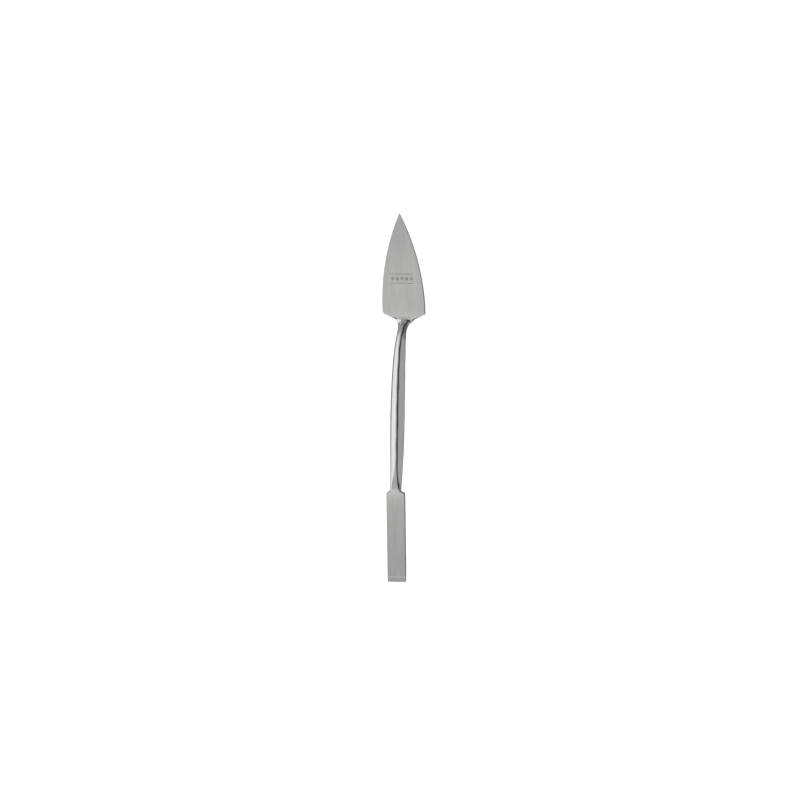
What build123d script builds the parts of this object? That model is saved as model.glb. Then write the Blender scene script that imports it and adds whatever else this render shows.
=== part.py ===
from build123d import *
import math
import os

# A steel modelling tool forged from one bar: a pointed trowel at one end, a square-ended
# flat blade at the other, and a swelled, ridged shank between them.
# Millimetres. The tool lies face up on a table: X is across it, +Y runs to the trowel's
# tip and +Z is up. "Along" is measured in Y, and the square blade ends just below zero.

# Square-ended blade. RAMP_START and SHOULDER_START are measured in its own plane, from its end.
END_ALONG = -0.6
SQUARE_WIDTH = 12.1
SQUARE_CLIMB = 6.9  # degrees by which the blade rises towards the shank
SQUARE_END_THICKNESS = 1.8
SQUARE_THICKNESS = 2.0  # where the ramp up to the shank starts
END_BEVEL_LENGTH = 3.3
END_BEVEL_EDGE = 0.35  # thickness left at the very end
END_CORNER_RADIUS = 0.7
RAMP_START = 55.4
SHOULDER_START = 56.2
SHOULDER_RADIUS = 1.2

# Trowel blade
TROWEL_WIDTH = 28.2
TROWEL_CLIMB = 12.2  # degrees by which the blade rises towards its tip
TROWEL_HEEL_THICKNESS = 1.8
TROWEL_TIP_THICKNESS = 0.8
HEEL_DEPTH = 3.7  # from the blade's root to its two heel corners
HEEL_SIDE = 2.8  # straight stretch of each side above a heel corner
LEFT_HEEL_RADIUS = 1.2
RIGHT_HEEL_RADIUS = 0.6
POINT_LENGTH = 60.5  # length of the curved sides
POINT_WIDTH = 0.4  # the tip is blunted to this width

# Shank, with the widest place of its swell
SWELL_ALONG = 101.0
SWELL_HALF_WIDTH = 4.7
SWELL_HALF_DEPTH = 3.15
# Half-width and half-depth that the swell falls off to, at the shoulder and the trowel's neck
SHOULDER_FALL = (3.5, 2.15)
NECK_FALL = (3.45, 2.65)
SQUARE_NECK_ALONG = 80.0  # where the shank meets the neck of the square blade
TROWEL_NECK_ALONG = 150.0  # where it meets the neck of the trowel
SHANK_STEPS = 5

# Necks
SHOULDER_ALONG = 57.4
SHOULDER_HALF_WIDTH = 3.66
SHOULDER_HALF_DEPTH = 1.7
SHOULDER_EDGE = 0.3
ROOT_ALONG = 163.8  # the trowel's root, where the tool touches the table
ROOT_HALF_WIDTH = 6.4
ROOT_EDGE = 0.15  # small bevel along the edges of the root

# Half-width and half-depth of the two narrow flats that run along the shank's edges
SIDE_FLAT = 0.5
RIDGE_FLAT = 0.6

# Centreline between the blades, seen from the side: along, height, climb in degrees
SHOULDER_RISE = (SHOULDER_ALONG - END_ALONG) * math.tan(math.radians(SQUARE_CLIMB))
SQUARE_END_HEIGHT = SQUARE_END_THICKNESS / 2
ROOT_HEIGHT = TROWEL_HEEL_THICKNESS / 2
CENTRELINE = (
    (SHOULDER_ALONG, SQUARE_END_HEIGHT + SHOULDER_RISE, SQUARE_CLIMB),
    (64.0, 7.6, -3.0),
    (72.0, 7.3, 0.0),
    (116.0, 8.45, 0.0),
    (149.6, 6.45, -11.0),
    (157.1, 4.2, -26.0),
    (ROOT_ALONG, ROOT_HEIGHT, TROWEL_CLIMB),
)


def centre(along):
    """Height and slope of the centreline at a place between the two blades."""
    spans = zip(CENTRELINE, CENTRELINE[1:])
    start, end = next(pair for pair in spans if along <= pair[1][0] + 1e-9)
    length = end[0] - start[0]
    u = (along - start[0]) / length
    rise_in, rise_out = (length * math.tan(math.radians(knot[2])) for knot in (start, end))
    step = end[1] - start[1]
    bend = rise_in + rise_out - 2 * step
    turn = 3 * step - 2 * rise_in - rise_out
    height = start[1] + u * (rise_in + u * (turn + u * bend))
    slope = (rise_in + u * (2 * turn + u * 3 * bend)) / length
    return height, slope


def swell(along, full, lower_end, upper_end):
    """A size that is full at the swell and falls off to each end of the shank."""
    if along < SWELL_ALONG:
        share = (SWELL_ALONG - along) / (SWELL_ALONG - SHOULDER_ALONG)
        return full - (full - lower_end) * share**2
    share = (along - SWELL_ALONG) / (TROWEL_NECK_ALONG - SWELL_ALONG)
    return full - (full - upper_end) * share**2


def half_width(along):
    return swell(along, SWELL_HALF_WIDTH, SHOULDER_FALL[0], NECK_FALL[0])


def half_depth(along):
    return swell(along, SWELL_HALF_DEPTH, SHOULDER_FALL[1], NECK_FALL[1])


def section(along, widths, depths, side_flat, flats):
    """Eight-sided section, square to the centreline.

    Half-sizes: widths to the right and left, depths above and below the centreline, half
    of each side's flat, and half of the flats along the top and underneath.
    """
    height, slope = centre(along)
    plane = Plane(origin=(0, along, height), x_dir=(1, 0, 0), z_dir=(0, -1, -slope))
    right, left = widths
    top, bottom = depths
    top_flat, bottom_flat = flats
    corners = (
        (right, side_flat),
        (top_flat, top),
        (-top_flat, top),
        (-left, side_flat),
        (-left, -side_flat),
        (-bottom_flat, -bottom),
        (bottom_flat, -bottom),
        (right, -side_flat),
    )
    return plane * Polygon(*corners, align=None)


def even_section(along, wide, deep, side_flat, top_flat, bottom_flat):
    """The same to the right and left, and above and below, except for the two flats."""
    return section(along, (wide, wide), (deep, deep), side_flat, (top_flat, bottom_flat))


def shank_section(along):
    return even_section(
        along, half_width(along), half_depth(along), SIDE_FLAT, RIDGE_FLAT, RIDGE_FLAT
    )


def make_shank():
    """The swelled bar between the two necks, with a ridge along its top and bottom."""
    length = TROWEL_NECK_ALONG - SQUARE_NECK_ALONG
    places = [SQUARE_NECK_ALONG + length * i / SHANK_STEPS for i in range(SHANK_STEPS + 1)]
    return loft([shank_section(along) for along in places])


def make_square_neck():
    """The top ridge opens into a flat tongue, and both faces flatten at the shoulder."""
    edge_depth = SHOULDER_HALF_DEPTH - SHOULDER_EDGE
    edge_width = SHOULDER_HALF_WIDTH - SHOULDER_EDGE
    sections = (
        even_section(
            SHOULDER_ALONG,
            SHOULDER_HALF_WIDTH,
            SHOULDER_HALF_DEPTH,
            edge_depth,
            edge_width,
            edge_width,
        ),
        even_section(60.0, 3.62, 1.95, 0.8, 2.1, 1.6),
        even_section(64.0, 3.72, 2.25, 0.5, 1.7, 0.9),
        even_section(71.0, 4.12, 2.65, SIDE_FLAT, 0.95, RIDGE_FLAT),
        shank_section(SQUARE_NECK_ALONG),
    )
    return loft(sections)


def make_trowel_neck():
    """The bar dips to the table and thins, and a flange flares from it to the blade's root.

    The flange turns out sooner on the right than on the left, as ground by hand.
    """
    hump = loft(
        [
            shank_section(TROWEL_NECK_ALONG),
            section(154.5, (3.1, 3.1), (2.4, 2.3), 0.5, (0.6, 0.6)),
            section(158.5, (3.0, 3.1), (2.0, 1.7), 0.55, (0.6, 0.9)),
            section(161.5, (2.9, 2.9), (1.4, 1.0), 0.5, (0.6, 1.6)),
            section(ROOT_ALONG, (2.9, 2.9), (0.85, 0.85), 0.5, (1.6, 2.0)),
        ]
    )
    edge = ROOT_HEIGHT - ROOT_EDGE
    flange = loft(
        [
            section(159.4, (2.5, 2.5), (0.6, 0.6), 0.5, (2.4, 2.4)),
            section(160.4, (3.2, 3.3), (0.7, 0.7), 0.55, (3.0, 3.1)),
            section(163.2, (5.8, 4.5), (0.85, 0.85), 0.7, (5.65, 4.35)),
            section(
                ROOT_ALONG,
                (ROOT_HALF_WIDTH, ROOT_HALF_WIDTH),
                (ROOT_HEIGHT, ROOT_HEIGHT),
                edge,
                (ROOT_HALF_WIDTH - ROOT_EDGE, ROOT_HALF_WIDTH - ROOT_EDGE),
            ),
        ],
        ruled=True,
    )
    return hump + flange


def blade(plane, outline, profile, width):
    """The outline, drawn in the blade's plane, cut to the thickness of its side view.

    Both are in that plane: x across and y along the outline, x along and y up the profile.
    """
    side_plane = Plane(origin=plane.origin, x_dir=plane.y_dir, z_dir=plane.x_dir)
    flat = extrude(plane * outline, amount=width / 4, both=True)
    side = extrude(side_plane * profile, amount=width, both=True)
    return flat & side


def blade_plane(along, height, climb):
    """Plane of a blade that climbs along +Y, with its y direction along the blade."""
    tilt = math.radians(climb)
    return Plane(
        origin=(0, along, height),
        x_dir=(1, 0, 0),
        z_dir=(0, -math.sin(tilt), math.cos(tilt)),
    )


def make_square_blade():
    """Flat bar with a chisel-bevelled end, and sloped shoulders where it meets the neck."""
    half = SQUARE_WIDTH / 2
    shoulder_end = (SHOULDER_ALONG - END_ALONG) / math.cos(math.radians(SQUARE_CLIMB))
    outline = Polygon(
        (-half, 0),
        (half, 0),
        (half, SHOULDER_START),
        (SHOULDER_HALF_WIDTH, shoulder_end),
        (-SHOULDER_HALF_WIDTH, shoulder_end),
        (-half, SHOULDER_START),
        align=None,
    )
    corners = outline.vertices().sort_by(Axis.Y)
    outline = fillet(corners[:2], END_CORNER_RADIUS)
    shoulders = [v for v in outline.vertices() if abs(v.Y - SHOULDER_START) < 0.01]
    outline = fillet(shoulders, SHOULDER_RADIUS)
    end_half = SQUARE_END_THICKNESS / 2
    root_half = SQUARE_THICKNESS / 2
    profile = Polygon(
        (0, -end_half),
        (RAMP_START, -root_half),
        (shoulder_end, -SHOULDER_HALF_DEPTH),
        (shoulder_end, SHOULDER_HALF_DEPTH),
        (RAMP_START, root_half),
        (END_BEVEL_LENGTH, end_half),
        (0, END_BEVEL_EDGE - end_half),
        align=None,
    )
    plane = blade_plane(END_ALONG, SQUARE_END_HEIGHT, SQUARE_CLIMB)
    return blade(plane, outline, profile, SQUARE_WIDTH)


def make_trowel_blade():
    """Pointed leaf with curved sides and a shallow V-shaped heel."""
    half = TROWEL_WIDTH / 2
    tip_half = POINT_WIDTH / 2
    side_top = HEEL_DEPTH + HEEL_SIDE
    tip = side_top + POINT_LENGTH
    edges = Polyline(
        (-half, side_top),
        (-half, HEEL_DEPTH),
        (-ROOT_HALF_WIDTH, 0),
        (ROOT_HALF_WIDTH, 0),
        (half, HEEL_DEPTH),
        (half, side_top),
    ).edges()
    right = TangentArc((half, side_top), (tip_half, tip), tangent=(0, 1))
    left = TangentArc((-half, side_top), (-tip_half, tip), tangent=(0, 1))
    outline = make_face([*edges, right, left, Line((-tip_half, tip), (tip_half, tip))])
    for side, radius in ((-1, LEFT_HEEL_RADIUS), (1, RIGHT_HEEL_RADIUS)):
        corner = Vector(side * half, HEEL_DEPTH)
        heel = min(outline.vertices(), key=lambda v: (Vector(v.X, v.Y) - corner).length)
        outline = fillet(heel, radius)
    heel_half = TROWEL_HEEL_THICKNESS / 2
    point_half = TROWEL_TIP_THICKNESS / 2
    profile = Polygon(
        (0, -heel_half), (tip, -point_half), (tip, point_half), (0, heel_half), align=None
    )
    plane = blade_plane(ROOT_ALONG, ROOT_HEIGHT, TROWEL_CLIMB)
    return blade(plane, outline, profile, TROWEL_WIDTH)


pieces = {
    "square_blade": make_square_blade(),
    "square_neck": make_square_neck(),
    "shank": make_shank(),
    "trowel_neck": make_trowel_neck(),
    "trowel_blade": make_trowel_blade(),
}

# The origin is under the middle of the whole tool, on the table.
box = Compound([piece.solid() for piece in pieces.values()]).bounding_box()
to_origin = Pos(0, -box.center().Y, -box.min.Z)

os.makedirs("parts", exist_ok=True)
for name, piece in pieces.items():
    placed = to_origin * piece.solid()
    placed.label = name
    export_step(placed, f"parts/{name}.step")
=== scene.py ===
"""A forged steel palette knife with a trowel at one end and a square blade at the other.

The shape is worked out in millimetres, in the CAD's own terms: "along" is measured in Y from
just inside the end of the square blade, which is at END_ALONG, and heights are above the
table. Blender's units are metres.
"""

import math

import bpy
import numpy as np
from mathutils import Matrix, Vector


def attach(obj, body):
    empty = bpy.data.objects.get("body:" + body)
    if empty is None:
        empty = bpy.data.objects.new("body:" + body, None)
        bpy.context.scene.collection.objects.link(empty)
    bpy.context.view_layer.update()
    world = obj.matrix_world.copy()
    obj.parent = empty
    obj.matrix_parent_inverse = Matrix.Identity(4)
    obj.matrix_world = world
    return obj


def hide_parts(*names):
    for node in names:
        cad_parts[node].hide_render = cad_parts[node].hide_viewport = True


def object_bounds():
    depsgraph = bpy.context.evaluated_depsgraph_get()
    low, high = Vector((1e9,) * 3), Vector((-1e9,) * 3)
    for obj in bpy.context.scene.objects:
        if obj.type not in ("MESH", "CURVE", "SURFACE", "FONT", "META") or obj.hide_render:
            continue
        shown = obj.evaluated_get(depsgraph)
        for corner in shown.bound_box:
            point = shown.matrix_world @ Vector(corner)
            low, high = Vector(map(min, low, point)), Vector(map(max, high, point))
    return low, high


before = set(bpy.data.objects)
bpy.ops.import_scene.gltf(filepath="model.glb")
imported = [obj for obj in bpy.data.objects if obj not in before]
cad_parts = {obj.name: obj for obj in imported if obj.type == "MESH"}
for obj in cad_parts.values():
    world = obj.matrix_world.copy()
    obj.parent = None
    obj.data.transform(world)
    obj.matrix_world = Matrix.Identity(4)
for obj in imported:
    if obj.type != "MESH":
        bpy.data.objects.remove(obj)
cad_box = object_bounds()
MM = 0.001

# ---------------------------------------------------------------- sizes of the tool, in mm

# Square-ended blade
END_ALONG = -0.6
SQUARE_HALF_WIDTH = 6.05
SQUARE_CLIMB = math.radians(6.9)
SQUARE_HALF_THICKNESS = 0.9
END_BEVEL_LENGTH = 3.3
END_BEVEL_SLOPE = math.tan(math.radians(24))
# How far the square end is out of square: its slope across the blade, and how far up the
# blade it fades out
END_SKEW = 0.02
SKEW_LENGTH = 20
SHOULDER_ALONG = 57.4
SHOULDER_HALF_WIDTH = 3.66

# Trowel blade, with lengths in its own plane, from its root
TROWEL_HALF_WIDTH = 14.1
TROWEL_CLIMB = math.radians(12.2)
HEEL_HALF_THICKNESS = 0.9
ROOT_ALONG = 163.8
ROOT_HALF_WIDTH = 6.4
HEEL_DEPTH = 3.7
HEEL_SIDE = 2.8
POINT_LENGTH = 60.5
POINT_HALF_WIDTH = 0.2
TIP_ROUND = 0.25  # the last stretch, where the tip is rounded off
TIP_STUB = 0.02  # how far beyond the last ring the rounding would close
TIP_ALONG = ROOT_ALONG + (HEEL_DEPTH + HEEL_SIDE + POINT_LENGTH) * math.cos(TROWEL_CLIMB)

# Centreline between the blades: along, height, climb in degrees
SHOULDER_HEIGHT = SQUARE_HALF_THICKNESS + (SHOULDER_ALONG - END_ALONG) * math.tan(SQUARE_CLIMB)
CENTRELINE = (
    (SHOULDER_ALONG, SHOULDER_HEIGHT, 6.9),
    (64.0, 7.6, -3.0),
    (72.0, 7.3, 0.0),
    (116.0, 8.45, 0.0),
    (149.6, 6.45, -11.0),
    (157.1, 4.2, -26.0),
    (ROOT_ALONG, HEEL_HALF_THICKNESS, 12.2),
)

# How the section changes along the tool: each row is (along, value, ease), and the run of
# straight lines through the rows turns each corner within its ease.

# Half-width: the square blade's shoulders, the shank, then the flare at the trowel's root,
# which turns out sooner on the right than on the left
SHANK_HALF_WIDTH = (
    (64, 3.72, 3.2),
    (76, 4.36, 6),
    (101, 4.8, 12),
    (127, 4.42, 11),
    (142, 3.92, 6),
    (152, 3.16, 4),
)
RIGHT_SHOULDER = (
    (END_ALONG, SQUARE_HALF_WIDTH - 0.1, 0),
    (8, SQUARE_HALF_WIDTH, 4),
    (55.4, SQUARE_HALF_WIDTH, 0.3),
    (56.45, 3.5, 0.25),
)
LEFT_SHOULDER = (
    (END_ALONG, SQUARE_HALF_WIDTH + 0.3, 0),
    (3, SQUARE_HALF_WIDTH - 0.1, 2),
    (55.2, SQUARE_HALF_WIDTH - 0.05, 0.7),
    (57, SHOULDER_HALF_WIDTH, 0.4),
)
RIGHT_FLARE = (
    (156.5, 2.96, 1.5),
    (160.1, 3.02, 0.9),
    (162.2, 5.15, 0.3),
    (ROOT_ALONG, 7.0, 0),
)
LEFT_FLARE = (
    (156.5, 2.98, 1.5),
    (159.6, 3.3, 0.8),
    (161.2, 4.5, 0.5),
    (162.4, 4.75, 0.15),
    (162.9, 5.8, 0.2),
    (ROOT_ALONG, ROOT_HALF_WIDTH, 0),
)
# From the centreline up to the top and down to the underside
TOP_DEPTH = (
    (0, 0.9, 0),
    (50, 0.97, 3),
    (54.1, 1.28, 1.5),
    (57.8, 1.75, 1.2),
    (64, 2.25, 2.5),
    (74, 2.8, 5),
    (101, 3.2, 12),
    (130, 3.05, 12),
    (150, 2.65, 5),
    (157.5, 2.2, 2),
    (161.8, 1.45, 1.4),
    (165, 0.8, 0.9),
    (168, 0.88, 1.5),
    (TIP_ALONG, 0.3, 0),
)
BOTTOM_DEPTH = (
    (0, 0.9, 0),
    (54.2, 1.0, 1.5),
    (59, 1.8, 1.5),
    (74, 2.8, 5),
    (101, 3.2, 12),
    (130, 3.05, 12),
    (150, 2.6, 5),
    (157.5, 1.9, 2),
    (162, 0.95, 1.5),
    (ROOT_ALONG, 0.9, 0.3),
    (TIP_ALONG, 0.4, 0),
)
# Half the thickness of the sides, which is never less than THIN_EDGE
THIN_EDGE = 0.08
SIDE_DEPTH = (
    (0, 0.84, 0),
    (55.5, 0.95, 1),
    (62, 0.85, 2),
    (71, 0.42, 3),
    (152, 0.42, 3),
    (157, 0.45, 2),
    (162, 0.14, 1),
    (164.3, 0.16, 0.5),
    (166, 0.42, 0.5),
    (170, 0.7, 2),
    (TIP_ALONG, 0.18, 0),
)
# Half-width of the flat along the top: the blade's face, then the tongue, then the ridge
TOP_FLAT = (
    (0, 2.7, 0),
    (55.6, 2.7, 1),
    (57.4, 2.45, 0.5),
    (60.2, 2.0, 1),
    (63.3, 1.65, 1),
    (69, 0.85, 3),
    (77, 0.57, 3),
    (157, 0.55, 2),
    (160, 0.3, 1),
    (ROOT_ALONG, 0.9, 0.8),
    (168, 5, 1.5),
    (TIP_ALONG, 5, 0),
)
BOTTOM_FLAT = (
    (0, 2.7, 0),
    (57.4, 2.7, 1),
    (61, 1.3, 1.5),
    (69, 0.7, 3),
    (157, 0.69, 2),
    (162, 2.0, 1),
    (168, 5, 1.5),
    (TIP_ALONG, 5, 0),
)
# How far the top ridge lies to the right of the middle
RIDGE_SHIFT = (
    (57.4, 0, 0),
    (61, 0.1, 2),
    (70, 0.47, 4),
    (146, 0.5, 3),
    (151, 1.25, 2),
    (156, 1.1, 1.5),
    (160, 0, 1),
    (TIP_ALONG, 0, 0),
)
# How far the thin edges of the trowel's root lie below the centreline
EDGE_DROP = ((155, 0, 0), (161, 0.5, 1.5), (164, 0.55, 0.6), (166, 0, 0.5), (TIP_ALONG, 0, 0))

# Between the flat and the side lies one more corner. It is RIGHT_INSET or LEFT_INSET in from
# the side, and no further from the middle than RIGHT_LIMIT or LEFT_LIMIT.
RIGHT_INSET = (
    (0, 0.05, 0),
    (54.6, 0.05, 0.5),
    (55.4, 0.7, 0.3),
    (56.4, 0.7, 0.3),
    (57.2, 0.2, 0.4),
    (59.5, 0.25, 1),
    (64, 0.9, 2),
    (76, 1.85, 6),
    (101, 2.05, 10),
    (138, 1.6, 5),
    (149, 0.6, 4),
    (160, 0.5, 2),
    (ROOT_ALONG, 0.2, 0.5),
    (TIP_ALONG, 0.1, 0),
)
LEFT_INSET = (
    (0, 0.1, 0),
    (55.5, 0.1, 1),
    (59, 0.6, 1),
    (76, 1.85, 6),
    (101, 2.05, 10),
    (150, 1.35, 5),
    (160, 0.8, 3),
    (ROOT_ALONG, 0.2, 0.5),
    (TIP_ALONG, 0.08, 0),
)
RIGHT_LIMIT = (
    (150, 20, 0),
    (156.5, 2.5, 1),
    (159.5, 1.9, 1),
    (161.4, 2.5, 0.8),
    (163, 4.3, 0.5),
    (164, 6.6, 0.4),
    (164.7, 9.3, 0.3),
    (165.4, 20, 0),
)
LEFT_LIMIT = (
    (150, 20, 0),
    (157, 1.9, 1.5),
    (159.5, 1.0, 1),
    (161.5, 1.2, 1),
    (163.3, 2.0, 0.5),
    (164.5, 4.6, 0.4),
    (165.3, 9.3, 0.3),
    (166, 20, 0),
)
# How high that corner is: 1 is the flat's height, and 0 is on the slope from flat to side.
RIGHT_LIFT = (
    (55.6, 1, 0),
    (57, 0.62, 0.5),
    (59.5, 0.5, 1),
    (62.5, 0, 1.5),
    (157.5, 0, 1),
    (160, 1, 1),
    (162, 0.62, 1),
    (164, 0.7, 0.8),
    (166, 1, 0.6),
    (TIP_ALONG, 1, 0),
)
LEFT_LIFT = (
    (55.2, 1, 0),
    (57.6, 0.18, 0.8),
    (148, 0.18, 3),
    (157.5, 0, 1),
    (160, 1, 1),
    (162, 0.7, 1),
    (164, 0.8, 0.8),
    (166, 1, 0.6),
    (TIP_ALONG, 1, 0),
)
# How far the surface is rounded to each side of the flat's edge, of that corner, and of the
# edge of the side
RIDGE_EASE = (
    (55.5, 0.1, 0),
    (57.5, 0.45, 1),
    (64, 0.45, 2),
    (76, 0.55, 4),
    (142, 0.6, 3),
    (150, 1.0, 3),
    (157, 1.0, 1),
    (160, 0.5, 1),
    (164, 0.1, 0),
)
CORNER_EASE = (
    (56, 0.15, 0),
    (64, 0.6, 3),
    (76, 1.1, 4),
    (150, 1.0, 4),
    (157, 0.7, 1),
    (160, 1.5, 1),
    (162.5, 3.2, 1),
    (164.5, 3.2, 0.8),
    (167, 0.1, 0),
)
SIDE_EASE = ((57, 0.13, 0), (66, 0.37, 4), (156, 0.37, 3), (164, 0.1, 0))

# What differs between the two sides: the flare, how round the trowel's heel corner is and how
# far it is ground back, how round the square blade's end corner is, the corner between flat
# and side, and how far the top ridge's rounding runs down this side compared with RIDGE_EASE
RIGHT_SIDE = {
    "widths": RIGHT_SHOULDER + SHANK_HALF_WIDTH + RIGHT_FLARE,
    "heel_ease": 0.5,
    "heel_drop": 0.3,
    "end_radius": 1.1,
    "inset": RIGHT_INSET,
    "limit": RIGHT_LIMIT,
    "lift": RIGHT_LIFT,
    "ridge_run": 1.6,
}
LEFT_SIDE = {
    "widths": LEFT_SHOULDER + SHANK_HALF_WIDTH + LEFT_FLARE,
    "heel_ease": 0.7,
    "heel_drop": 0.0,
    "end_radius": 0.06,
    "inset": LEFT_INSET,
    "limit": LEFT_LIMIT,
    "lift": LEFT_LIFT,
    "ridge_run": 1.0,
}

# Places of the rings that the mesh is made of: start, end, and the step between rings
RING_SPANS = (
    (END_ALONG, 1, 0.1),
    (1, 5, 0.25),
    (5, 53, 0.8),
    (53, SHOULDER_ALONG, 0.2),
    (SHOULDER_ALONG, 60, 0.2),
    (60, 80, 0.5),
    (80, 150, 0.8),
    (150, 156, 0.4),
    (156, ROOT_ALONG, 0.15),
    (ROOT_ALONG, 169, 0.13),
    (169, 226, 0.8),
    (226, TIP_ALONG - TIP_ROUND, 0.15),
    (TIP_ALONG - TIP_ROUND, TIP_ALONG, 0.05),
)
# Points on each straight run and on each rounded corner of a quarter of a ring
RUN_STEPS = (7, 7, 3, 2)
CORNER_STEPS = (8, 4, 6)

# The named zones of the forging: CAD node, where it starts and ends, and its material slot
ZONES = (
    ("square_blade", END_ALONG, SHOULDER_ALONG, "satin_blade_steel"),
    ("square_neck", SHOULDER_ALONG, 80, "polished_shank_steel"),
    ("shank", 80, 150, "polished_shank_steel"),
    ("trowel_neck", 150, ROOT_ALONG, "polished_shank_steel"),
    ("trowel_blade", ROOT_ALONG, TIP_ALONG, "satin_blade_steel"),
)

# ---------------------------------------------------------------- shape


def bent(at, knots):
    """Straight runs between knots (along, value, ease), each corner turned within its ease."""
    places, values, eases = (np.array(column, float) for column in zip(*knots))
    line = np.interp(at, places, values)
    slopes = np.diff(values) / np.diff(places)
    for k in range(1, len(places) - 1):
        past = at - places[k]
        swing = (slopes[k] - slopes[k - 1]) * (past + eases[k]) ** 2 / (4 * eases[k])
        eased = values[k] + slopes[k - 1] * past + swing
        line = np.where(np.abs(past) < eases[k], eased, line)
    return line


def spine(along):
    """Height and climb, in radians, of the tool's centreline."""
    if along <= SHOULDER_ALONG:
        fall = (SHOULDER_ALONG - along) * math.tan(SQUARE_CLIMB)
        return SHOULDER_HEIGHT - fall, SQUARE_CLIMB
    if along >= ROOT_ALONG:
        rise = (along - ROOT_ALONG) * math.tan(TROWEL_CLIMB)
        return HEEL_HALF_THICKNESS + rise, TROWEL_CLIMB
    spans = zip(CENTRELINE, CENTRELINE[1:])
    start, end = next(pair for pair in spans if along <= pair[1][0])
    length = end[0] - start[0]
    u = (along - start[0]) / length
    rise_in, rise_out = (length * math.tan(math.radians(knot[2])) for knot in (start, end))
    step = end[1] - start[1]
    bend = rise_in + rise_out - 2 * step
    turn = 3 * step - 2 * rise_in - rise_out
    height = start[1] + u * (rise_in + u * (turn + u * bend))
    return height, math.atan((rise_in + u * (2 * turn + u * 3 * bend)) / length)


def trowel_half_width(along, heel_ease, heel_drop):
    """Half-width of the trowel: a V heel, a short straight side, then an arc to the tip."""
    from_root = (along - ROOT_ALONG) / math.cos(TROWEL_CLIMB)
    side_top = HEEL_DEPTH + HEEL_SIDE
    heel_flare = (TROWEL_HALF_WIDTH - ROOT_HALF_WIDTH) / HEEL_DEPTH
    heel = bent(
        from_root,
        (
            (0, ROOT_HALF_WIDTH + heel_drop * heel_flare, 0),
            (HEEL_DEPTH - heel_drop, TROWEL_HALF_WIDTH, heel_ease),
            (side_top, TROWEL_HALF_WIDTH, 0),
        ),
    )
    reach = TROWEL_HALF_WIDTH - POINT_HALF_WIDTH
    radius = (POINT_LENGTH**2 + reach**2) / (2 * reach)
    up_point = np.clip(from_root - side_top, 0, POINT_LENGTH)
    point = TROWEL_HALF_WIDTH - radius + np.sqrt(radius**2 - up_point**2)
    to_close = TIP_ALONG + TIP_STUB - along
    blunt = POINT_HALF_WIDTH * np.sqrt(np.clip(to_close / (TIP_ROUND + TIP_STUB), 0, 1))
    return np.where(from_root < side_top, heel, np.maximum(point, blunt))


def half_width(along, side):
    """Half-width of one side of the whole tool."""
    body = bent(along, side["widths"])
    trowel = trowel_half_width(along, side["heel_ease"], side["heel_drop"])
    wide = np.where(along < ROOT_ALONG, body, trowel)
    radius = side["end_radius"]
    from_end = np.clip(radius + END_ALONG - along, 0, radius)
    return wide - radius + np.sqrt(radius**2 - from_end**2)


def quarter(along, wide, deep, edge, mid, flat, side):
    """A quarter of each section, from the middle of its face out to the middle of its side.

    Five points make its outline, and the three between the first and last are eased. The
    side is as thick as twice edge, and mid is the height of its middle.
    """
    inset = np.minimum(bent(along, side["inset"]), 0.3 * wide)
    corner = np.minimum(wide - inset, bent(along, side["limit"]))
    flat = np.clip(flat, 0.05 * corner, 0.85 * corner)
    slope = deep + (mid + edge - deep) * (corner - flat) / (wide - flat)
    lift = bent(along, side["lift"])
    across = (0 * wide, flat, corner, wide, wide)
    up = (deep, deep, slope + lift * (deep - slope), mid + edge, mid)
    points = [np.stack(pair, -1) for pair in zip(across, up)]
    runs = [b - a for a, b in zip(points, points[1:])]
    lengths = [np.linalg.norm(run, axis=-1, keepdims=True) for run in runs]
    ways = [run / length for run, length in zip(runs, lengths)]
    ridge_ease = bent(along, RIDGE_EASE)[:, None]
    corner_ease = bent(along, CORNER_EASE)[:, None]
    side_ease = np.minimum(bent(along, SIDE_EASE), 0.9 * edge)[:, None]
    # Share of the run between the flat and the corner that the corner's rounding may take: the
    # higher the corner, the more. The ridge's rounding may take the rest.
    shared = np.clip(2.5 * lift, 0.05, 0.45 + 0.4 * lift)[:, None]
    # For each rounded point: how far the rounding reaches before and after it, and the largest
    # share of the run on each side that it may take
    eases = (
        (ridge_ease, side["ridge_run"] * ridge_ease, 0.8, 0.95 - shared),
        (corner_ease, corner_ease, shared, 0.55),
        (side_ease, side_ease, 0.4, 0.9),
    )
    sampled, last = [points[0][:, None]], points[0]
    for k, (ease_in, ease_out, room_in, room_out) in enumerate(eases):
        before = points[k + 1] - np.minimum(ease_in, room_in * lengths[k]) * ways[k]
        after = points[k + 1] + np.minimum(ease_out, room_out * lengths[k + 1]) * ways[k + 1]
        share = np.arange(1, RUN_STEPS[k] + 1)[None, :, None] / RUN_STEPS[k]
        sampled.append(last[:, None] + share * (before - last)[:, None])
        share = np.arange(1, CORNER_STEPS[k] + 1)[None, :, None] / CORNER_STEPS[k]
        start, middle, end = before[:, None], points[k + 1][:, None], after[:, None]
        sampled.append((1 - share) ** 2 * start + 2 * share * (1 - share) * middle + share**2 * end)
        last = after
    share = np.arange(1, RUN_STEPS[3] + 1)[None, :, None] / RUN_STEPS[3]
    sampled.append(last[:, None] + share * (points[4] - last)[:, None])
    return np.concatenate(sampled, 1)


def ring_places():
    """Where the rings stand along the tool. Every zone starts and ends on one."""
    places = [END_ALONG]
    for start, end, step in RING_SPANS:
        count = max(1, round((end - start) / step))
        places += [start + (end - start) * i / count for i in range(1, count + 1)]
    return np.array(places)


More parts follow.
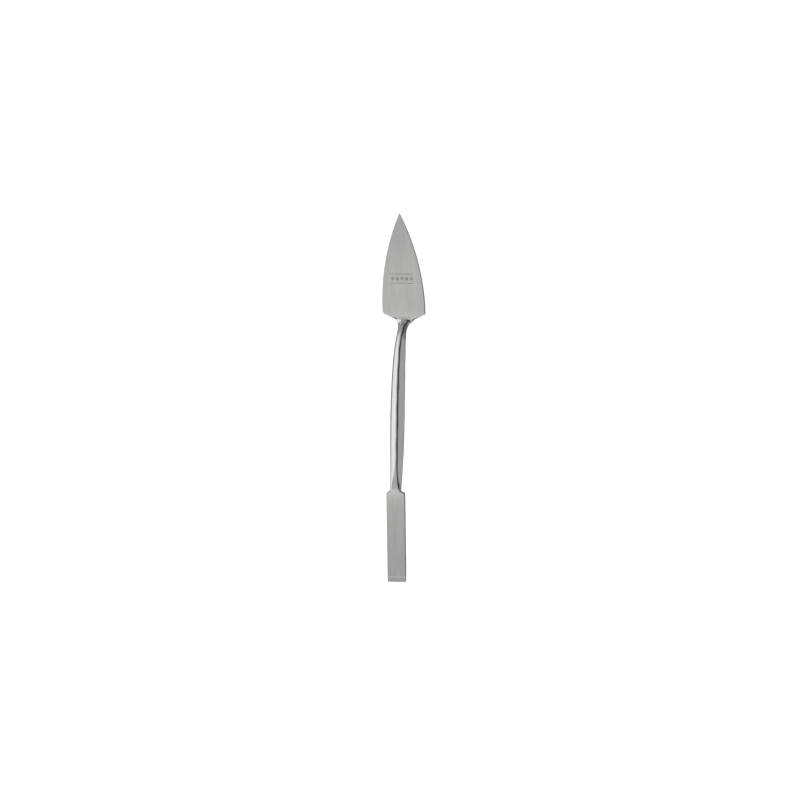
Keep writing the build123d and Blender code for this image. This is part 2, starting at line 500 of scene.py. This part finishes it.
def sections(along):
    """Points of every ring, as (rings, points around, across and up from the centreline)."""
    bevel_top = END_ALONG + END_BEVEL_LENGTH
    bevel = bent(along, ((END_ALONG, END_BEVEL_LENGTH, 0), (bevel_top, 0, 0.3), (TIP_ALONG, 0, 0)))
    cut = bevel * END_BEVEL_SLOPE / 2
    edge = np.maximum(bent(along, SIDE_DEPTH) - cut, THIN_EDGE)
    top, bottom = bent(along, TOP_DEPTH) - cut, bent(along, BOTTOM_DEPTH) - cut
    right, left = half_width(along, RIGHT_SIDE), half_width(along, LEFT_SIDE)
    top_flat, bottom_flat = bent(along, TOP_FLAT), bent(along, BOTTOM_FLAT)
    shift, mid = bent(along, RIDGE_SHIFT), -bent(along, EDGE_DROP)
    quarters = (
        quarter(along, right, top, edge, mid, top_flat + shift, RIGHT_SIDE),
        quarter(along, right, bottom, edge, -mid, bottom_flat, RIGHT_SIDE)[:, ::-1] * (1, -1),
        quarter(along, left, bottom, edge, -mid, bottom_flat, LEFT_SIDE) * (-1, -1),
        quarter(along, left, top, edge, mid, top_flat - shift, LEFT_SIDE)[:, ::-1] * (-1, 1),
    )
    ring = np.concatenate([part[:, :-1] for part in quarters], 1)
    ring[..., 1] -= cut[:, None]
    return ring


def normals_of(grid):
    """Outward normals of a closed tube of rings."""
    around = np.roll(grid, -1, 1) - np.roll(grid, 1, 1)
    along = np.gradient(grid, axis=0)
    normal = np.cross(around, along)
    return normal / np.maximum(np.linalg.norm(normal, axis=-1, keepdims=True), 1e-12)


# Heights of the waves that hand grinding leaves on the shank and on the blades, in mm
SHANK_WAVES = (0.022, 0.018)
BLADE_WAVES = (0.016, 0.008)


def hand_finish(grid, normal, along):
    """How far hand grinding leaves the steel proud of a true surface, in mm."""
    x, y = grid[..., 0], grid[..., 1]
    turned = np.arctan2(normal[..., 2], normal[..., 0])
    blade = np.clip((SHOULDER_ALONG - along) / 3, 0, 1) + np.clip((along - ROOT_ALONG) / 3, 0, 1)
    blade = blade[:, None]
    facets = SHANK_WAVES[0] * np.sin(y / 3.1 + 2.2 * turned)
    facets += SHANK_WAVES[1] * np.sin(y / 1.9 - 3.1 * turned + 1.3)
    faces = BLADE_WAVES[0] * np.sin(x / 3.3 + 0.6) * np.sin(y / 6.1 + 0.4)
    faces += BLADE_WAVES[1] * np.sin(x / 1.7 + y / 9)
    return facets * (1 - blade) + faces * blade


def whole_tool():
    """Ring places, points and normals of the whole tool, in the row frame, in mm."""
    along = ring_places()
    ring = sections(along)
    height, climb = np.array([spine(place) for place in along]).T
    grid = np.empty(ring.shape[:2] + (3,))
    grid[..., 0] = ring[..., 0]
    grid[..., 1] = along[:, None] - ring[..., 1] * np.sin(climb)[:, None]
    grid[..., 2] = height[:, None] + ring[..., 1] * np.cos(climb)[:, None]
    skew = END_SKEW * np.clip(1 - along / SKEW_LENGTH, 0, 1)
    grid[..., 1] += skew[:, None] * grid[..., 0]
    normal = normals_of(grid)
    grid += normal * hand_finish(grid, normal, along)[..., None]
    grid[..., 1] += cad_box[0].y / MM - grid[..., 1].min()
    grid[..., 2] += cad_box[0].z / MM - grid[..., 2].min()
    return along, grid, normals_of(grid)


def cap_faces(first, around, reverse):
    """Faces that close a ring whose first point has index first: quads from top to bottom."""
    half, faces = around // 2, []
    for k in range(half // 2):
        right = (k, k + 1, half - k - 1, half - k)
        left = ((around - k) % around, half + k, half + k + 1, around - k - 1)
        for face in (right, left):
            face = tuple(dict.fromkeys(first + index for index in face))
            faces.append(face[::-1] if reverse else face)
    return faces


def make_zone(name, grid, normal):
    """One closed mesh from a run of rings, shaded as part of the whole tool's surface."""
    rings, around = grid.shape[:2]
    faces = []
    for i in range(rings - 1):
        for j in range(around):
            k = (j + 1) % around
            faces.append((i * around + j, i * around + k, (i + 1) * around + k, (i + 1) * around + j))
    sides = len(faces)
    start_cap = cap_faces(0, around, True)
    end_cap = cap_faces((rings - 1) * around, around, False)
    mesh = bpy.data.meshes.new(name)
    mesh.from_pydata((grid.reshape(-1, 3) * MM).tolist(), [], faces + start_cap + end_cap)
    mesh.shade_smooth()
    flat_normals = normal.reshape(-1, 3)
    loops = []
    for number, face in enumerate(mesh.polygons):
        if number < sides:
            loops += [flat_normals[v] for v in face.vertices]
        else:
            loops += [face.normal] * face.loop_total
    mesh.normals_split_custom_set(loops)
    piece = bpy.data.objects.new(name, mesh)
    bpy.context.scene.collection.objects.link(piece)
    return piece


# ---------------------------------------------------------------- materials

# Tint and roughness of each finish, and the depth of its grain in metres
SATIN = ((0.668, 0.668, 0.663), 0.27, 1.2e-6)
POLISHED = ((0.69, 0.685, 0.68), 0.17, 0.8e-6)

# The steel's colour is darker towards both ends. Each row is where that starts and where it is
# full, in mm from the square end, and how much of the dark colour is mixed in there.
DARKER_ENDS = ((50, 0, 0.15), (190, 229, 0.13))
END_DARK_COLOUR = (0.02, 0.02, 0.018, 1)

# Etched ornament on the trowel's upper face, in mm
ORNAMENT_ALONG = 189.0
ORNAMENT_HALF_WIDTH = 7.6
RULE_OFFSET = 2.9
LOZENGE_PITCH = 3.1
LOZENGE_LENGTH = 3.2
LOZENGE_WIDTH = 2.5
RULE_FADE = (0.28, 0.16)  # from a rule's middle line to where it ends and where it is full
LOZENGE_FADE = 0.15
ROW_FADE = 0.1
ETCHED_COLOUR = (0.24, 0.185, 0.12, 1)


class Nodes:
    """Short calls for building a node tree."""

    def __init__(self, tree):
        self.tree = tree
        tree.nodes.clear()

    def add(self, kind, inputs=(), **settings):
        node = self.tree.nodes.new(kind)
        for key, value in settings.items():
            setattr(node, key, value)
        for key, value in dict(inputs).items():
            self.feed(node.inputs[key], value)
        return node

    def feed(self, socket, value):
        if isinstance(value, bpy.types.NodeSocket):
            self.tree.links.new(value, socket)
        else:
            socket.default_value = value

    def math(self, operation, *values):
        return self.add("ShaderNodeMath", enumerate(values), operation=operation).outputs[0]

    def mix(self, share, a, b):
        node = self.add("ShaderNodeMix", data_type="RGBA")
        for index, value in ((0, share), (6, a), (7, b)):
            self.feed(node.inputs[index], value)
        return node.outputs[2]

    def ramp(self, value, low, high, to_low=0.0, to_high=1.0):
        inputs = {0: value, 1: low, 2: high, 3: to_low, 4: to_high}
        node = self.add("ShaderNodeMapRange", inputs, interpolation_type="SMOOTHSTEP")
        return node.outputs[0]

    def noise(self, vector, scale, detail=2.0, stretch=(1, 1, 1)):
        moved = self.add("ShaderNodeMapping", {"Vector": vector, "Scale": stretch}).outputs[0]
        node = self.add("ShaderNodeTexNoise", {"Vector": moved, "Scale": scale, "Detail": detail})
        return node.outputs[0]


def ornament(nodes, place):
    """1 on an etched band across the trowel: a row of lozenges between two fine rules."""
    middle = cad_box[0].y + (ORNAMENT_ALONG - END_ALONG) * MM
    moved = {0: place, 1: (0, middle, 0)}
    moved = nodes.add("ShaderNodeVectorMath", moved, operation="SUBTRACT").outputs[0]
    across, along, _ = nodes.add("ShaderNodeSeparateXYZ", {0: moved}).outputs
    across = nodes.math("ABSOLUTE", across)
    along = nodes.math("ABSOLUTE", along)
    from_rule = nodes.math("ABSOLUTE", nodes.math("SUBTRACT", along, RULE_OFFSET * MM))
    rules = nodes.ramp(from_rule, RULE_FADE[0] * MM, RULE_FADE[1] * MM)
    from_lozenge = nodes.math("PINGPONG", across, LOZENGE_PITCH / 2 * MM)
    slant = nodes.math("MULTIPLY_ADD", from_lozenge, LOZENGE_LENGTH / LOZENGE_WIDTH, along)
    half = LOZENGE_LENGTH / 2
    lozenges = nodes.ramp(slant, half * MM, (half - LOZENGE_FADE) * MM)
    drawn = nodes.math("MAXIMUM", rules, lozenges)
    within = nodes.ramp(across, (ORNAMENT_HALF_WIDTH + ROW_FADE) * MM, ORNAMENT_HALF_WIDTH * MM)
    facing = nodes.add("ShaderNodeTexCoord").outputs["Normal"]
    upward = nodes.add("ShaderNodeSeparateXYZ", {0: facing}).outputs[2]
    on_top = nodes.ramp(upward, 0.5, 0.6)
    worn = nodes.ramp(nodes.noise(place, 500, 2), 0.35, 0.65, 0.45, 0.7)
    drawn = nodes.math("MULTIPLY", drawn, within)
    return nodes.math("MULTIPLY", drawn, nodes.math("MULTIPLY", on_top, worn))


def steel(name, tint, roughness, grain_depth, with_ornament=False):
    """Ground steel, its grain and scratches running along the tool."""
    material = bpy.data.materials.new(name)
    material.use_nodes = True
    nodes = Nodes(material.node_tree)
    place = nodes.add("ShaderNodeTexCoord").outputs["Object"]
    grain = nodes.noise(place, 2600, 3, (1, 0.02, 1))
    scratch = nodes.noise(place, 700, 2, (1, 0.01, 1))
    streak = nodes.noise(place, 420, 3, (1, 0.06, 1))
    blotch = nodes.noise(place, 90, 2, (1, 0.5, 1))
    dull = tuple(0.93 * c for c in tint)
    colour = nodes.mix(nodes.ramp(streak, 0.3, 0.7), (*dull, 1), (*tint, 1))
    along = nodes.add("ShaderNodeSeparateXYZ", {0: place}).outputs[1]
    # colour darkened towards both ends of the tool
    for start, end, share in DARKER_ENDS:
        end_darkening = nodes.ramp(along, cad_box[0].y + start * MM, cad_box[0].y + end * MM, 0.0, share)
        colour = nodes.mix(end_darkening, colour, END_DARK_COLOUR)
    rough = nodes.math("MULTIPLY_ADD", grain, 0.08, roughness - 0.04)
    rough = nodes.math("ADD", rough, nodes.ramp(blotch, 0.3, 0.7, -0.02, 0.02))
    height = nodes.math("MULTIPLY_ADD", scratch, 1.5, grain)
    if with_ornament:
        etched = ornament(nodes, place)
        colour = nodes.mix(etched, colour, ETCHED_COLOUR)
        height = nodes.math("MULTIPLY_ADD", etched, -6.0, height)
    bump = nodes.add("ShaderNodeBump", {"Height": height, "Strength": 1.0, "Distance": grain_depth})
    shader = nodes.add(
        "ShaderNodeBsdfPrincipled",
        {
            "Base Color": colour,
            "Metallic": 1.0,
            "Roughness": rough,
            "Normal": bump.outputs[0],
        },
    )
    nodes.add("ShaderNodeOutputMaterial", {"Surface": shader.outputs[0]})
    return material


# ---------------------------------------------------------------- studio

CAMERA_ROLL = math.radians(20)
IMAGE_TURN = math.radians(1.6)
PICTURE_WIDTH = 0.5  # what the camera takes in at the tool, in metres
LENS = 200.0
SENSOR = 36.0
# Middle of the picture, to the right of and up from the middle of the square end, in mm
AIM_RIGHT = 1.9
AIM_UP = 113.9

FLOOR_RADIUS = 4.0
FLOOR_SIDES = 64
# Shade of the floor as the tool's edges see it: the two places in Y, in metres, between which
# it changes, then its shade beside the tool's lower half and beside its trowel
FLOOR_LEFT = (0.035, 0.055, 0.38, 0.95)
FLOOR_RIGHT = (-0.06, 0.01, 1.0, 0.45)
FLOOR_BLEND = 0.02  # half the width of the strip where left blends into right
STUDIO_GREY = (0.4, 0.4, 0.4, 1)


def make_floor():
    """Wide pale floor, which the camera sees as evenly white."""
    mesh = bpy.data.meshes.new("floor")
    turns = [2 * math.pi * k / FLOOR_SIDES for k in range(FLOOR_SIDES)]
    corners = [(FLOOR_RADIUS * math.cos(a), FLOOR_RADIUS * math.sin(a), 0) for a in turns]
    mesh.from_pydata(corners, [], [tuple(range(FLOOR_SIDES))])
    floor = bpy.data.objects.new("floor", mesh)
    floor.location.z = cad_box[0].z
    bpy.context.scene.collection.objects.link(floor)
    material = bpy.data.materials.new("floor_white")
    material.use_nodes = True
    nodes = Nodes(material.node_tree)
    seen = nodes.add("ShaderNodeLightPath").outputs["Is Camera Ray"]
    place = nodes.add("ShaderNodeTexCoord").outputs["Object"]
    across, along, _ = nodes.add("ShaderNodeSeparateXYZ", {0: place}).outputs
    to_left = nodes.ramp(along, *FLOOR_LEFT)
    to_right = nodes.ramp(along, *FLOOR_RIGHT)
    shade = nodes.ramp(across, -FLOOR_BLEND, FLOOR_BLEND, to_left, to_right)
    grey = nodes.add("ShaderNodeCombineColor", {k: shade for k in range(3)}).outputs[0]
    shader = nodes.add(
        "ShaderNodeBsdfPrincipled",
        {
            "Base Color": grey,
            "Roughness": 0.9,
            "Emission Color": (1, 1, 1, 1),
            "Emission Strength": seen,
        },
    )
    nodes.add("ShaderNodeOutputMaterial", {"Surface": shader.outputs[0]})
    mesh.materials.append(material)


# Broad patches of the studio's walls: the way to each, its half-angle where it is full and
# where it ends, in degrees, and its colour. Later patches lie over earlier ones.
PATCHES = (
    ((0, -1, 1.2), 30, 75, (0.64, 0.64, 0.635)),
    ((0, -1, 0.1), 10, 50, (0.5, 0.5, 0.5)),
    ((-0.34, -0.62, 0.70), 4, 22, (0.92, 0.92, 0.92)),
    ((-1, -0.1, 0.1), 22, 50, (1.16, 1.16, 1.16)),
    ((1, 0, 0.7), 25, 45, (0.54, 0.505, 0.505)),
    ((0.55, 0.8, 0.25), 24, 34, (0.06, 0.06, 0.06)),
    ((0.2, 0.45, 0.87), 16, 28, (0.05, 0.05, 0.05)),
    ((0.25, 0.05, 0.97), 22, 34, (0.05, 0.05, 0.05)),
)


def make_world():
    """Studio walls as the steel sees them. The camera sees them as plain white."""
    world = bpy.data.worlds.new("studio")
    bpy.context.scene.world = world
    world.use_nodes = True
    nodes = Nodes(world.node_tree)
    way = nodes.add("ShaderNodeTexCoord").outputs["Generated"]
    colour = STUDIO_GREY
    for towards, inner, outer, tint in PATCHES:
        axis = Vector(towards).normalized()
        dot = nodes.add("ShaderNodeVectorMath", {0: way, 1: axis}, operation="DOT_PRODUCT")
        full, ends = math.cos(math.radians(inner)), math.cos(math.radians(outer))
        share = nodes.ramp(dot.outputs["Value"], ends, full)
        colour = nodes.mix(share, colour, (*tint, 1))
    seen = nodes.add("ShaderNodeLightPath").outputs["Is Camera Ray"]
    colour = nodes.mix(seen, colour, (1, 1, 1, 1))
    shader = nodes.add("ShaderNodeBackground", {"Color": colour, "Strength": 1.0})
    nodes.add("ShaderNodeOutputWorld", {"Surface": shader.outputs[0]})


def make_camera():
    """Looks down on the tool from 20 degrees to its right, turned a little in its own plane."""
    toward = Vector((math.sin(CAMERA_ROLL), 0, math.cos(CAMERA_ROLL)))
    level = Vector((math.cos(CAMERA_ROLL), 0, -math.sin(CAMERA_ROLL)))
    ahead = Vector((0, 1, 0))
    right = level * math.cos(IMAGE_TURN) + ahead * math.sin(IMAGE_TURN)
    up = ahead * math.cos(IMAGE_TURN) - level * math.sin(IMAGE_TURN)
    square_end = Vector((0, cad_box[0].y, cad_box[0].z + SQUARE_HALF_THICKNESS * MM))
    target = square_end + (right * AIM_RIGHT + up * AIM_UP) * MM
    data = bpy.data.cameras.new("camera")
    data.lens, data.sensor_width = LENS, SENSOR
    camera = bpy.data.objects.new("camera", data)
    bpy.context.scene.collection.objects.link(camera)
    pose = Matrix((right, up, toward)).transposed().to_4x4()
    pose.translation = target + toward * PICTURE_WIDTH * LENS / SENSOR
    camera.matrix_world = pose
    bpy.context.scene.camera = camera


# ---------------------------------------------------------------- the scene

finishes = {
    "satin_blade_steel": steel("satin_blade_steel", *SATIN, with_ornament=True),
    "polished_shank_steel": steel("polished_shank_steel", *POLISHED),
}
places, tool_points, tool_normals = whole_tool()
for node, start, end, slot in ZONES:
    rings = (places > start - 1e-6) & (places < end + 1e-6)
    piece = make_zone(node + "_forged", tool_points[rings], tool_normals[rings])
    piece.data.materials.append(finishes[slot])
    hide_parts(node)
    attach(piece, "root")

make_floor()
make_world()
make_camera()
bpy.context.scene.view_settings.view_transform = "Standard"
